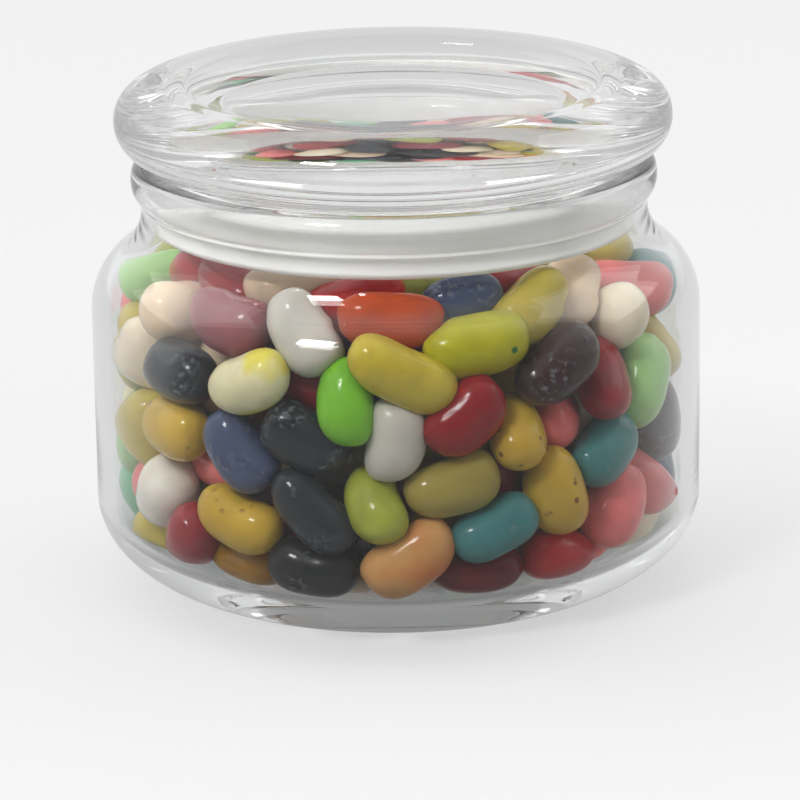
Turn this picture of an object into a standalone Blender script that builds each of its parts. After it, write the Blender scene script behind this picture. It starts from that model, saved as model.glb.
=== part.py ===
"""A squat glass sweet jar, filled with jelly beans and closed by its own thick glass lid.

Four pieces, each a node of its own:
  jar          the pressed glass jar: heavy base, wide heel, shoulder, neck and bead rim
  lid          the solid glass lid: rounded rim, shallow well on top, hollow plug below
  seal         the soft ribbed ring round the plug, which grips the inside of the neck
  jelly_beans  the heap that fills the jar up to the shoulder, one lumpy body

Sizes are in millimetres and become metres in one place, MM. The origin is on the table at the
middle of the base, +Z up. All glass is turned about Z.
"""

import math

import bmesh
import bpy
import numpy as np
from mathutils import Vector

MM = 0.001
SEGMENTS = 40
GAP = 0.3

# Jar, outside
BODY_R = 56.0
HEEL_WIDTH = 25.0
HEEL_HEIGHT = 16.5
PUNT_R = 27.0
PUNT_LIFT = 1.2
SHOULDER_Z = 52.0
SHOULDER_R = 12.9
NECK_R = 46.4
NECK_CURVE_R = 10.2
NECK_TOP_Z = 72.4
BEAD_R = 48.2
BEAD_Z = 76.2
RIM_Z = 79.5
RIM_LAND_R = 46.2

# Jar, inside
WALL = 3.0
FLOOR_Z = 4.6
BORE_R = 43.6
RIM_ROUND = 0.7

# Lid
LID_R = 51.0
LID_EQUATOR_Z = 87.0
LID_RIM_WIDTH = 9.4
LID_CROWN = 6.7
LID_CROWN_POWER = 2.3
WELL_R = 32.9
WELL_EDGE_Z = 91.6
WELL_FLOOR_R = 14.0
WELL_FLOOR_Z = 89.6
WELL_STEPS = 4
PLUG_R = 40.6
PLUG_INNER_R = 33.0
PLUG_BOTTOM_Z = 66.9
CEILING_Z = 84.4
CEILING_ROUND = 1.6

# Seal
SEAL_BODY_R = 42.0
SEAL_LIP_R = BORE_R - GAP
SEAL_BOTTOM_Z = 67.4
SEAL_TOP_Z = 78.6
SEAL_LIPS = 3

# Jelly beans
BEAN_HALF = (8.3, 5.45, 5.05)
HEAP_CLEARANCE = 0.6
HEAP_BASE_Z = FLOOR_Z + HEAP_CLEARANCE
HEAP_EDGE_Z = 66.0
HEAP_CROWN = 2.4
HEAP_CROWN_R = 36.0
HEAP_CENTRE_Z = 33.0
HEAP_AROUND = 62
HEAP_ROWS = 28
LAYER = 176
LAYER_GAP = 10.6
FRONT_Y = -12.0
FRONT_Z = 60.0
CORE_DEPTH = 2.8

# Beans that show from the front: across and up in the jar, the tilt of the long axis from level and
# its turn out of the wall's plane in degrees, how far back from the glass, and its length's share.
FRONT_BEANS = [
    (-46, 57.5, 5, 60, 0, 1.0),
    (-38.5, 58, 10, 65, 0, 1.0),
    (-28, 58.5, -15, 0, 0, 0.95),
    (-28, 60, 0, 0, 5, 1.0),
    (-18, 62, 10, 0, 6, 1.0),
    (-15, 58, -62, 0, 0, 0.98),
    (-7, 62, 0, 0, 5, 1.1),
    (-1, 60, -8, 0, 1, 1.12),
    (3.5, 62, 0, 30, 9, 1.0),
    (11, 61.5, 10, 0, 4, 0.9),
    (21.5, 60.5, 0, 0, 7, 1.0),
    (22, 60, 22, 10, 0, 0.95),
    (31, 59.5, 40, 40, 2, 0.85),
    (39.5, 55.5, -45, 30, 0, 0.9),
    (42, 57.5, 0, 80, 0, 1.0),
    (47, 46, 60, 10, 0, 1.05),
    (47, 53, 30, 0, 0, 0.9),
    (-47, 44, 85, 0, 0, 1.05),
    (-37.5, 47, -5, 0, 0, 0.92),
    (-25, 49, 25, 0, 0, 0.98),
    (-16, 47, 0, 0, 8, 1.0),
    (0, 53, -42, 0, 0, 1.22),
    (14.5, 56.5, 17, 0, 0, 1.12),
    (27.5, 50, 35, 0, 0, 1.03),
    (37, 44, 40, 60, 0, 0.95),
    (-8, 46, -70, 75, 0, 0.95),
    (-38.5, 36, -10, 10, 0, 0.88),
    (-27, 36.5, -50, 0, 0, 0.98),
    (-15, 40, -18, 0, 1, 0.98),
    (10.5, 43.5, 35, 0, 0, 1.0),
    (-1.5, 38.5, 75, 20, 1, 0.9),
    (21.5, 39, 30, 75, 1, 0.95),
    (28, 37, 0, 40, 6, 0.95),
    (36, 33, 30, 0, 0, 0.95),
    (45.5, 34, 80, 0, 0, 1.05),
    (-47, 28, 70, 0, 0, 1.0),
    (-41, 23, 50, 25, 0, 0.92),
    (-47, 14, 80, 0, 0, 1.1),
    (-48, 20, 80, 0, 3, 0.9),
    (-31, 29, 0, 0, 6, 1.0),
    (-36, 16, 40, 35, 0, 0.95),
    (-27.5, 23, -17, 0, 0, 1.0),
    (-14, 26.5, -42, 0, 0, 1.08),
    (-3, 28.5, -65, 70, 0, 0.95),
    (9.5, 30, 2, 0, 1, 1.02),
    (27.5, 27.5, -78, 0, 0, 1.0),
    (38, 21.5, 52, 0, 0, 1.0),
    (16.5, 22.5, 25, 0, 0, 0.98),
    (1, 18.7, 38, 0, 0, 1.1),
    (-15, 14, -10, 0, 0, 1.02),
    (-27.5, 13, -10, 0, 1, 0.95),
    (13.5, 12.5, -8, 0, 0, 1.02),
    (28, 14, -5, 0, 0, 0.95),
    (41, 13.5, 50, 0, 1, 1.0),
    (47, 13.5, 80, 0, 0, 0.9),
    (47, 20, 60, 0, 1, 0.9),
    (48, 26.5, 70, 0, 1, 0.9),
    (48, 35, 70, 0, 2, 0.9),
]


def clear_scene():
    for old in list(bpy.data.objects):
        bpy.data.objects.remove(old)


def material(name, colour, roughness, alpha=1.0):
    made = bpy.data.materials.new(name)
    made.use_nodes = True
    shader = made.node_tree.nodes["Principled BSDF"]
    shader.inputs["Base Color"].default_value = (*colour, 1.0)
    shader.inputs["Roughness"].default_value = roughness
    shader.inputs["Metallic"].default_value = 0.0
    shader.inputs["Alpha"].default_value = alpha
    return made


def arc(centre, radii, start, end, steps, power=2.0):
    """Points of an ellipse, or of the squarer curve that a higher power gives, angles in degrees."""
    points = []
    for i in range(steps + 1):
        angle = math.radians(start + (end - start) * i / steps)
        across = math.copysign(abs(math.cos(angle)) ** (2.0 / power), math.cos(angle))
        up = math.copysign(abs(math.sin(angle)) ** (2.0 / power), math.sin(angle))
        points.append((centre[0] + radii[0] * across, centre[1] + radii[1] * up))
    return points


def shoulder_turn(body_r, neck_r, convex_r, concave_r):
    """Angle through which the shoulder turns in before the neck turns it back."""
    return math.degrees(math.acos(1.0 - (body_r - neck_r) / (convex_r + concave_r)))


TURN = shoulder_turn(BODY_R, NECK_R, SHOULDER_R, NECK_CURVE_R)
NECK_CURVE_Z = SHOULDER_Z + (SHOULDER_R + NECK_CURVE_R) * math.sin(math.radians(TURN))


def jar_outside():
    """From the bead down to the middle of the base."""
    neck_centre = (NECK_R + NECK_CURVE_R, NECK_CURVE_Z)
    shoulder_centre = (BODY_R - SHOULDER_R, SHOULDER_Z)
    heel_centre = (BODY_R - HEEL_WIDTH, HEEL_HEIGHT)
    bead = arc((RIM_LAND_R, BEAD_Z), (BEAD_R - RIM_LAND_R, RIM_Z - BEAD_Z), 90, -62, 5)
    neck = arc(neck_centre, (NECK_CURVE_R, NECK_CURVE_R), 180, 180 + TURN, 3)
    shoulder = arc(shoulder_centre, (SHOULDER_R, SHOULDER_R), TURN, 0, 4)[1:]
    heel = arc(heel_centre, (HEEL_WIDTH, HEEL_HEIGHT), 0, -90, 7)
    punt = [(PUNT_R, 0.0), (PUNT_R - 2.5, PUNT_LIFT), (0.0, PUNT_LIFT)]
    return bead + [(NECK_R, NECK_TOP_Z)] + neck + shoulder + heel + punt


def jar_inside():
    """From the middle of the floor up to the rim."""
    heel_centre = (BODY_R - HEEL_WIDTH, HEEL_HEIGHT)
    heel_radii = (HEEL_WIDTH - WALL, HEEL_HEIGHT - FLOOR_Z)
    inner_turn = shoulder_turn(BODY_R - WALL, BORE_R, SHOULDER_R - WALL, NECK_CURVE_R + WALL)
    rise = (SHOULDER_R + NECK_CURVE_R) * math.sin(math.radians(inner_turn))
    shoulder_centre = (BODY_R - SHOULDER_R, SHOULDER_Z)
    neck_centre = (BORE_R + NECK_CURVE_R + WALL, SHOULDER_Z + rise)
    neck_radius = NECK_CURVE_R + WALL
    heel = arc(heel_centre, heel_radii, -90, 0, 5)
    shoulder = arc(shoulder_centre, (SHOULDER_R - WALL, SHOULDER_R - WALL), 0, inner_turn, 3)
    neck = arc(neck_centre, (neck_radius, neck_radius), 180 + inner_turn, 180, 3)[1:]
    rim_centre = (BORE_R + RIM_ROUND, RIM_Z - RIM_ROUND)
    rim = arc(rim_centre, (RIM_ROUND, RIM_ROUND), 180, 90, 2)
    return [(0.0, FLOOR_Z)] + heel + shoulder + neck + rim


def jar_outline():
    return jar_inside() + jar_outside()


def lid_outline():
    """From the middle of the well out over the rim, down to the plug and up to its ceiling."""
    rim_centre = (LID_R - LID_RIM_WIDTH, LID_EQUATOR_Z)
    ceiling_centre = (PLUG_INNER_R - CEILING_ROUND, CEILING_Z - CEILING_ROUND)
    plug_mid = (PLUG_R + PLUG_INNER_R) / 2
    plug_half = (PLUG_R - PLUG_INNER_R) / 2
    seat_z = RIM_Z + GAP
    well = [(0.0, WELL_FLOOR_Z)]
    for i in range(WELL_STEPS + 1):
        share = i / WELL_STEPS
        across = WELL_FLOOR_R + (WELL_R - WELL_FLOOR_R) * share
        well.append((across, WELL_FLOOR_Z + (WELL_EDGE_Z - WELL_FLOOR_Z) * share**2))
    well.append((WELL_R + 2.4, WELL_EDGE_Z + 0.9))
    crown = arc(rim_centre, (LID_RIM_WIDTH, LID_CROWN), 90, 0, 6, LID_CROWN_POWER)
    under = arc(rim_centre, (LID_RIM_WIDTH, LID_EQUATOR_Z - seat_z), 0, -72, 4)[1:]
    plug_tip = arc((plug_mid, PLUG_BOTTOM_Z + plug_half), (plug_half, plug_half), 0, -180, 4)
    ceiling = arc(ceiling_centre, (CEILING_ROUND, CEILING_ROUND), 0, 90, 3)
    outside = well + crown + under + [(PLUG_R, seat_z)]
    return outside + plug_tip + ceiling + [(0.0, CEILING_Z)]


def seal_outline():
    """A closed loop: the lips down the outer side, then the plain bore back up."""
    loop = [(SEAL_BODY_R, SEAL_TOP_Z)]
    pitch = (SEAL_TOP_Z - SEAL_BOTTOM_Z) / SEAL_LIPS
    for i in range(SEAL_LIPS):
        top = SEAL_TOP_Z - pitch * i
        loop.append((SEAL_BODY_R, top - 0.42 * pitch))
        loop.append((SEAL_LIP_R, top - 0.62 * pitch))
        loop.append((SEAL_LIP_R, top - 0.80 * pitch))
        if i < SEAL_LIPS - 1:
            loop.append((SEAL_BODY_R, top - pitch))
    loop.append((SEAL_BODY_R, SEAL_BOTTOM_Z))
    bore = PLUG_R + GAP
    return loop + [(bore, SEAL_BOTTOM_Z), (bore, SEAL_TOP_Z), (SEAL_BODY_R, SEAL_TOP_Z)]


def turned(name, outline, finish):
    """The outline, which runs down its outer side, turned about Z."""
    closed = outline[0] == outline[-1]
    points = outline[:-1] if closed else outline
    shell = bmesh.new()
    corners = [shell.verts.new((x * MM, 0.0, z * MM)) for x, z in points]
    for here, there in zip(corners, corners[1:]):
        shell.edges.new((here, there))
    if closed:
        shell.edges.new((corners[-1], corners[0]))
    mesh = bpy.data.meshes.new(name)
    shell.to_mesh(mesh)
    shell.free()
    made = bpy.data.objects.new(name, mesh)
    bpy.context.collection.objects.link(made)
    screw = made.modifiers.new("turn", "SCREW")
    screw.steps = SEGMENTS
    screw.render_steps = SEGMENTS
    screw.use_merge_vertices = True
    screw.merge_threshold = 0.00001
    screw.use_smooth_shade = True
    mesh.materials.append(finish)
    return made


def bore_radius(height):
    """Inner radius of the jar at a height, and zero below the floor."""
    wall = sorted((z, r) for r, z in jar_inside()[1:] if z < RIM_Z - RIM_ROUND)
    heights = [z for z, _ in wall]
    radii = [r for _, r in wall]
    return np.interp(height, heights, radii, left=0.0)


def heap_top(across):
    """Height of the heap's smooth top, level under the plug's tip and domed inside it."""
    return HEAP_EDGE_Z + HEAP_CROWN * np.clip(1.0 - (across / HEAP_CROWN_R) ** 2, 0.0, 1.0)


def layer_curve():
    """Middles of beans that lie against the floor, the glass and the top, from the axis round."""
    curve = []
    for i in range(1, 120):
        angle = math.radians(-90.0 + 1.5 * i)
        aim = Vector((math.cos(angle), 0.0, math.sin(angle)))
        limit = aim * float(heap_reach(np.array([aim]))[0])
        middle = Vector((0.0, 0.0, HEAP_CENTRE_Z)) + limit - heap_normal(aim) * BEAN_HALF[1]
        curve.append((max(middle.x, 0.0), middle.z))
    return np.array(curve)


def front_bean(entry, curve):
    """A bean seen from the front: its middle, the glass's outward direction and its long axis."""
    across, height, tilt, out, back, length = entry
    wall = curve[25:95]
    height = max(height, float(wall[0, 1]))
    reach = float(np.interp(height, wall[:, 1], wall[:, 0])) - back
    across = max(-reach, min(reach, across))
    middle = Vector((across, -math.sqrt(reach * reach - across * across), height))
    outward = Vector((middle.x, middle.y, 0.0)) / reach
    level = Vector((-outward.y, outward.x, 0.0))
    tilt, out = math.radians(tilt), math.radians(out)
    lying = level * math.cos(out) + outward * math.sin(out) * (1 if across < 0 else -1)
    return middle, outward, lying * math.cos(tilt) + Vector((0.0, 0.0, math.sin(tilt))), length


def layer_beans(curve, taken):
    """The rest of the outermost beans, spread evenly over the heap, clear of those in front."""
    step = np.diff(curve, axis=0)
    area = np.hypot(step[:, 0], step[:, 1]) * (curve[1:, 0] + curve[:-1, 0]) / 2
    passed = np.concatenate([[0.0], np.cumsum(area)]) / area.sum()
    beans = []
    for i in range(LAYER):
        share = (i + 0.5) / LAYER
        across = float(np.interp(share, passed, curve[:, 0]))
        height = float(np.interp(share, passed, curve[:, 1]))
        slope = step[min(int(np.searchsorted(passed, share)), len(step)) - 1]
        turn = i * math.pi * (3.0 - math.sqrt(5.0))
        round_ = Vector((math.cos(turn), math.sin(turn), 0.0))
        middle = round_ * across + Vector((0.0, 0.0, height))
        in_front = middle.y < FRONT_Y and FLOOR_Z + 8.0 < height < FRONT_Z
        if in_front or min((middle - other).length for other in taken) < LAYER_GAP:
            continue
        along = (round_ * slope[0] + Vector((0.0, 0.0, slope[1]))).normalized()
        level = Vector((-round_.y, round_.x, 0.0))
        outward = level.cross(along)
        lie = 2.4 * i
        beans.append((middle, outward, level * math.cos(lie) + along * math.sin(lie), 1.0))
    return beans


def outer_beans():
    curve = layer_curve()
    front = [front_bean(entry, curve) for entry in FRONT_BEANS]
    return front + layer_beans(curve, [bean[0] for bean in front])


def heap_reach(aims):
    """How far each direction from the heap's middle runs before it meets the glass or the top."""
    low = np.zeros(len(aims))
    high = np.full(len(aims), 2.0 * BODY_R)
    for _ in range(30):
        middle = (low + high) / 2
        across = np.hypot(aims[:, 0], aims[:, 1]) * middle
        height = HEAP_CENTRE_Z + aims[:, 2] * middle
        below = bore_radius(height - HEAP_CLEARANCE)
        above = bore_radius(height + HEAP_CLEARANCE)
        room = np.minimum(below, above) - HEAP_CLEARANCE
        inside = (across < room) & (height < heap_top(across)) & (height > HEAP_BASE_Z)
        low = np.where(inside, middle, low)
        high = np.where(inside, high, middle)
    return low


def heap_normal(aim):
    """Outward normal of the smooth heap, from three close directions."""
    side = aim.orthogonal().normalized() * 0.02
    other = aim.cross(side).normalized() * 0.02
    aims = [(aim + step).normalized() for step in (side, other, -side, -other)]
    reach = heap_reach(np.array(aims))
    a, b, c, d = (direction * float(r) for direction, r in zip(aims, reach))
    normal = (a - c).cross(b - d).normalized()
    return normal if normal.dot(aim) > 0 else -normal


def row_tilts():
    """Angles from straight up at which the rows of points lie evenly along the heap's outline."""
    tilts = np.radians(np.linspace(0.0, 180.0, 181))
    aims = np.stack([np.sin(tilts), np.zeros_like(tilts), np.cos(tilts)], -1)
    outline = aims * heap_reach(aims)[:, None]
    passed = np.concatenate([[0.0], np.cumsum(np.linalg.norm(np.diff(outline, axis=0), axis=1))])
    return np.interp(np.arange(1, HEAP_ROWS) / HEAP_ROWS, passed / passed[-1], tilts)


def heap_points():
    """The heap's surface: along each direction the farthest of the core and the beans it meets."""
    aims = []
    for tilt in row_tilts():
        for step in range(HEAP_AROUND):
            turn = 2.0 * math.pi * step / HEAP_AROUND
            ring = math.sin(tilt)
            aims.append((ring * math.cos(turn), ring * math.sin(turn), math.cos(tilt)))
    aims = np.array([(0.0, 0.0, 1.0)] + aims + [(0.0, 0.0, -1.0)])
    limit = heap_reach(aims)
    reach = limit - CORE_DEPTH
    for centre, outward, long_axis, length in outer_beans():
        side = outward.cross(long_axis).normalized()
        frame = np.array([long_axis, side, long_axis.cross(side)])
        half = np.array(BEAN_HALF) * (length, 1.0, 1.0)
        start = (np.array((0.0, 0.0, HEAP_CENTRE_Z)) - np.array(centre)) @ frame.T / half
        step = aims @ frame.T / half
        a = (step * step).sum(axis=1)
        b = step @ start
        c = start @ start - 1.0
        inside = b * b - a * c
        hit = (-b + np.sqrt(np.maximum(inside, 0.0))) / a
        reach = np.where((inside > 0) & (hit > reach), hit, reach)
    reach = np.minimum(reach, limit)
    return aims * reach[:, None] + np.array((0.0, 0.0, HEAP_CENTRE_Z))


def bean_heap(name, finish):
    points = heap_points() * MM
    last = len(points) - 1
    faces = []
    for step in range(HEAP_AROUND):
        after = (step + 1) % HEAP_AROUND
        faces.append((0, 1 + step, 1 + after))
        for row in range(HEAP_ROWS - 2):
            near = 1 + row * HEAP_AROUND
            far = near + HEAP_AROUND
            faces.append((near + step, far + step, far + after, near + after))
        bottom = 1 + (HEAP_ROWS - 2) * HEAP_AROUND
        faces.append((last, bottom + after, bottom + step))
    mesh = bpy.data.meshes.new(name)
    mesh.from_pydata([tuple(point) for point in points], [], faces)
    mesh.shade_smooth()
    mesh.materials.append(finish)
    made = bpy.data.objects.new(name, mesh)
    bpy.context.collection.objects.link(made)
    return made


def main():
    clear_scene()
    glass = material("clear_glass", (0.90, 0.93, 0.92), 0.03, 0.35)
    lid_glass = material("lid_glass", (0.90, 0.93, 0.92), 0.03, 0.35)
    soft = material("clear_seal", (0.86, 0.85, 0.83), 0.45, 0.8)
    sugar = material("jelly_bean_shells", (0.62, 0.33, 0.20), 0.25)
    turned("jar", jar_outline(), glass)
    turned("lid", lid_outline(), lid_glass)
    turned("seal", seal_outline(), soft)
    bean_heap("jelly_beans", sugar)


main()
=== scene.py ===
"""Looks of the jar of jelly beans: clear pressed glass, a whitish ribbed seal and single beans.

The beans are laid by a small pile simulation that runs here. The ones that show at the front are
listed one by one, as a place in the jar and a kind, and the rest are seeded. All lengths in the code
below are millimetres until a mesh is made.
"""

import math

import bmesh
import bpy
import numpy as np
from mathutils import Matrix, Vector

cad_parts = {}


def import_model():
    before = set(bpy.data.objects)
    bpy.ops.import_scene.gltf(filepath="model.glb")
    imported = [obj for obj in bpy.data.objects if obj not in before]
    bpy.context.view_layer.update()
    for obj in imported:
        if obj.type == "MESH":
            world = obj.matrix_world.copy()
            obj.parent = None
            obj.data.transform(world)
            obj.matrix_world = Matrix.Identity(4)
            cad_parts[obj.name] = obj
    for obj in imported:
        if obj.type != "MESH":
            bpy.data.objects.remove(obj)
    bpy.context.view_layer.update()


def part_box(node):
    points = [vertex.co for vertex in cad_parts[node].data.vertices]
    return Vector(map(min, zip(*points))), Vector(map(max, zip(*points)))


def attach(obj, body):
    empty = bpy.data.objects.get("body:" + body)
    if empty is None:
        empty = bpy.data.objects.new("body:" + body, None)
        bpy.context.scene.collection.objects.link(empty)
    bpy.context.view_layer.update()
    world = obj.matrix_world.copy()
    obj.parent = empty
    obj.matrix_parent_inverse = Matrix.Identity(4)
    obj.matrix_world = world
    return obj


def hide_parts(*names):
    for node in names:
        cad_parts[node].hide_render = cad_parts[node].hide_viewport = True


MM = 0.001

# The jar and lid as they are built: outside, inside, then the lid and the seal.
WALL = 3.0
HEEL_WIDTH = 25.0
HEEL_HEIGHT = 16.5
PUNT_R = 27.0
PUNT_LIFT = 1.2
SHOULDER_Z = 52.0
SHOULDER_R = 12.9
NECK_R = 46.4
NECK_CURVE_R = 10.2
NECK_TOP_Z = 72.4
BEAD_R = 48.2
BEAD_Z = 76.2
RIM_LAND_R = 46.2
RIM_ROUND = 0.7
FLOOR_Z = 4.6
BORE_R = 43.6
LID_EQUATOR_Z = 87.0
LID_RIM_WIDTH = 9.4
LID_CROWN_POWER = 2.3
LID_GAP = 0.3
WELL_R = 32.9
WELL_EDGE_Z = 91.6
WELL_FLOOR_R = 14.0
WELL_FLOOR_Z = 89.6
PLUG_R = 40.6
PLUG_INNER_R = 33.0
PLUG_BOTTOM_Z = 66.9
CEILING_Z = 84.4
CEILING_ROUND = 1.6
SEAL_BODY_R = 42.0
SEAL_LIP_R = 43.3
SEAL_BORE_R = 40.9
SEAL_BOTTOM_Z = 67.4
SEAL_TOP_Z = 78.6
SEAL_LIPS = 3

TURNS = 192


# ---------------------------------------------------------------- shapes that are turned


def arc(centre, radii, start, end, steps, power=2.0):
    """Points of an ellipse, or of the squarer curve that a higher power gives, angles in degrees."""
    angle = np.radians(np.linspace(start, end, steps + 1))
    across = np.sign(np.cos(angle)) * np.abs(np.cos(angle)) ** (2.0 / power)
    up = np.sign(np.sin(angle)) * np.abs(np.sin(angle)) ** (2.0 / power)
    return [(centre[0] + radii[0] * c, centre[1] + radii[1] * s) for c, s in zip(across, up)]


def shoulder_turn(body_r, neck_r, convex_r, concave_r):
    return math.degrees(math.acos(1.0 - (body_r - neck_r) / (convex_r + concave_r)))


def smoothed(points, rounds, keep_ends=True):
    """Corner cutting, which rounds a coarse run of points."""
    run = [np.array(p, float) for p in points]
    for _ in range(rounds):
        cut = [run[0]] if keep_ends else []
        for a, b in zip(run, run[1:]):
            cut.append(a * 0.75 + b * 0.25)
            cut.append(a * 0.25 + b * 0.75)
        if keep_ends:
            cut.append(run[-1])
        run = cut
    return [tuple(p) for p in run]


def jar_outside(body_r, rim_z):
    turn = shoulder_turn(body_r, NECK_R, SHOULDER_R, NECK_CURVE_R)
    rise = (SHOULDER_R + NECK_CURVE_R) * math.sin(math.radians(turn))
    neck_centre = (NECK_R + NECK_CURVE_R, SHOULDER_Z + rise)
    bead = arc((RIM_LAND_R, BEAD_Z), (BEAD_R - RIM_LAND_R, rim_z - BEAD_Z), 90, -66, 22)
    throat = smoothed([bead[-1], (NECK_R + 0.1, NECK_TOP_Z), (NECK_R, NECK_TOP_Z - 1.0)], 2)[1:]
    neck = arc(neck_centre, (NECK_CURVE_R, NECK_CURVE_R), 180, 180 + turn, 14)
    shoulder = arc((body_r - SHOULDER_R, SHOULDER_Z), (SHOULDER_R, SHOULDER_R), turn, 0, 24)[1:]
    heel = arc((body_r - HEEL_WIDTH, HEEL_HEIGHT), (HEEL_WIDTH, HEEL_HEIGHT), 0, -90, 28)
    punt = smoothed([(PUNT_R, 0.0), (PUNT_R - 1.2, 0.1), (PUNT_R - 2.5, PUNT_LIFT)], 2)
    return bead + throat + neck + shoulder + heel + punt + [(0.0, PUNT_LIFT)]


def jar_inside(body_r, rim_z):
    """From the middle of the floor up the wall to the rim."""
    turn = shoulder_turn(body_r - WALL, BORE_R, SHOULDER_R - WALL, NECK_CURVE_R + WALL)
    rise = (SHOULDER_R + NECK_CURVE_R) * math.sin(math.radians(turn))
    neck_centre = (BORE_R + NECK_CURVE_R + WALL, SHOULDER_Z + rise)
    neck_radii = (NECK_CURVE_R + WALL, NECK_CURVE_R + WALL)
    inner_round = (SHOULDER_R - WALL, SHOULDER_R - WALL)
    heel_radii = (HEEL_WIDTH - WALL, HEEL_HEIGHT - FLOOR_Z)
    heel = arc((body_r - HEEL_WIDTH, HEEL_HEIGHT), heel_radii, -90, 0, 22)
    shoulder = arc((body_r - SHOULDER_R, SHOULDER_Z), inner_round, 0, turn, 12)
    neck = arc(neck_centre, neck_radii, 180 + turn, 180, 12)[1:]
    rim = arc((BORE_R + RIM_ROUND, rim_z - RIM_ROUND), (RIM_ROUND, RIM_ROUND), 180, 90, 5)
    return [(0.0, FLOOR_Z)] + heel + shoulder + neck + rim


def lid_outline(lid_r, lid_top, seat_z):
    """From the middle of the well over the rim, down to the plug and up to its ceiling."""
    rim_centre = (lid_r - LID_RIM_WIDTH, LID_EQUATOR_Z)
    ceiling_centre = (PLUG_INNER_R - CEILING_ROUND, CEILING_Z - CEILING_ROUND)
    plug_mid = (PLUG_R + PLUG_INNER_R) / 2
    plug_half = (PLUG_R - PLUG_INNER_R) / 2
    crown_radii = (LID_RIM_WIDTH, lid_top - LID_EQUATOR_Z)
    under_radii = (LID_RIM_WIDTH, LID_EQUATOR_Z - seat_z)
    crown = arc(rim_centre, crown_radii, 88, 0, 30, LID_CROWN_POWER)
    under = arc(rim_centre, under_radii, 0, -72, 22)[1:]
    width, depth = WELL_R - WELL_FLOOR_R, WELL_EDGE_Z - WELL_FLOOR_Z
    dish = [(WELL_FLOOR_R + width * k / 14, WELL_FLOOR_Z + depth * (k / 14) ** 2) for k in range(15)]
    rise = lid_top - WELL_EDGE_Z
    lip = (WELL_R + 0.2 * rise * width / depth + 0.8, WELL_EDGE_Z + 0.62 * rise)
    well = dish[:-3] + smoothed(dish[-3:] + [lip, (WELL_R + 5.0, lid_top - 0.3), crown[0]], 3)[:-1]
    seat = smoothed([under[-1], (PLUG_R + 0.9, seat_z), (PLUG_R, seat_z - 0.9)], 2)[1:]
    tip = arc((plug_mid, PLUG_BOTTOM_Z + plug_half), (plug_half, plug_half), 0, -180, 14)
    ceiling = arc(ceiling_centre, (CEILING_ROUND, CEILING_ROUND), 0, 90, 10)
    middle = [(WELL_FLOOR_R * k / 3.0, WELL_FLOOR_Z) for k in range(3)]
    return middle + well + crown + under + seat + tip + ceiling + [(0.0, CEILING_Z)]


def seal_outline():
    """A closed loop: the lips down the outer side, then the plain bore back up."""
    loop = [(SEAL_BODY_R - 0.4, SEAL_TOP_Z), (SEAL_BODY_R, SEAL_TOP_Z - 0.3)]
    pitch = (SEAL_TOP_Z - SEAL_BOTTOM_Z) / SEAL_LIPS
    for i in range(SEAL_LIPS):
        top = SEAL_TOP_Z - pitch * i
        loop.append((SEAL_BODY_R, top - 0.42 * pitch))
        loop.append((SEAL_LIP_R - 0.15, top - 0.60 * pitch))
        loop.append((SEAL_LIP_R, top - 0.68 * pitch))
        loop.append((SEAL_LIP_R - 0.1, top - 0.80 * pitch))
        if i < SEAL_LIPS - 1:
            loop.append((SEAL_BODY_R, top - 0.98 * pitch))
    loop += [(SEAL_BODY_R + 0.5, SEAL_BOTTOM_Z), (SEAL_BORE_R, SEAL_BOTTOM_Z)]
    loop += [(SEAL_BORE_R, SEAL_TOP_Z), (SEAL_BODY_R - 0.4, SEAL_TOP_Z)]
    return smoothed(loop, 2)


def turned(name, outline, material):
    """Turns an outline, which runs down its outer side, about Z into a closed smooth mesh."""
    points = np.array(outline)
    closed = np.allclose(points[0], points[-1])
    if closed:
        points = points[:-1]
    angle = np.linspace(0.0, 2.0 * math.pi, TURNS, endpoint=False)
    verts = []
    rings = []
    for r, z in points:
        if r < 1e-6:
            rings.append([len(verts)] * TURNS)
            verts.append((0.0, 0.0, z * MM))
            continue
        rings.append(list(range(len(verts), len(verts) + TURNS)))
        verts += [(r * math.cos(a) * MM, r * math.sin(a) * MM, z * MM) for a in angle]
    faces = []
    pairs = list(zip(rings, rings[1:]))
    if closed:
        pairs.append((rings[-1], rings[0]))
    for above, below in pairs:
        for k in range(TURNS):
            n = (k + 1) % TURNS
            corners = [above[k], below[k], below[n], above[n]]
            faces.append(tuple(dict.fromkeys(corners)))
    mesh = bpy.data.meshes.new(name)
    mesh.from_pydata(verts, [], faces)
    mesh.validate()
    mesh.shade_smooth()
    mesh.materials.append(material)
    made = bpy.data.objects.new(name, mesh)
    bpy.context.scene.collection.objects.link(made)
    return made


# ---------------------------------------------------------------- the pile of beans

BEAN_HALF = np.array([8.3, 5.45, 5.05])
BALL_PLACES = np.array([0.0, 2.4, -2.4, 4.3, -4.3])
BALL_RADII = np.array([5.35, 5.25, 5.25, 4.05, 4.05])
BALL_BEND = 0.45
TURN_EASE = np.array([10.0, 18.0, 18.0])
GLASS_CLEARANCE = 0.3
CORE_R = 26.0
CORE_HALF = 15.0
CORE_Z = 31.0
HEAP_EDGE_Z = 66.0
HEAP_CROWN = 2.4
HEAP_CROWN_R = 36.0
LAYER = 176
LAYER_GAP = 10.6
FRONT_Y = -12.0
FRONT_Z = 60.0
BEANS = 282
PILE_STEPS = 620
SEED = 11


def ball_offsets(sizes):
    """Each bean as five balls along a slightly bent line: their places and their radii."""
    places = np.zeros((len(sizes), len(BALL_PLACES), 3))
    places[:, :, 0] = BALL_PLACES * sizes[:, :1]
    places[:, :, 1] = BALL_BEND * (BALL_PLACES / BALL_PLACES.max()) ** 2 - 0.2
    return places, BALL_RADII * sizes[:, 1:2]


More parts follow.
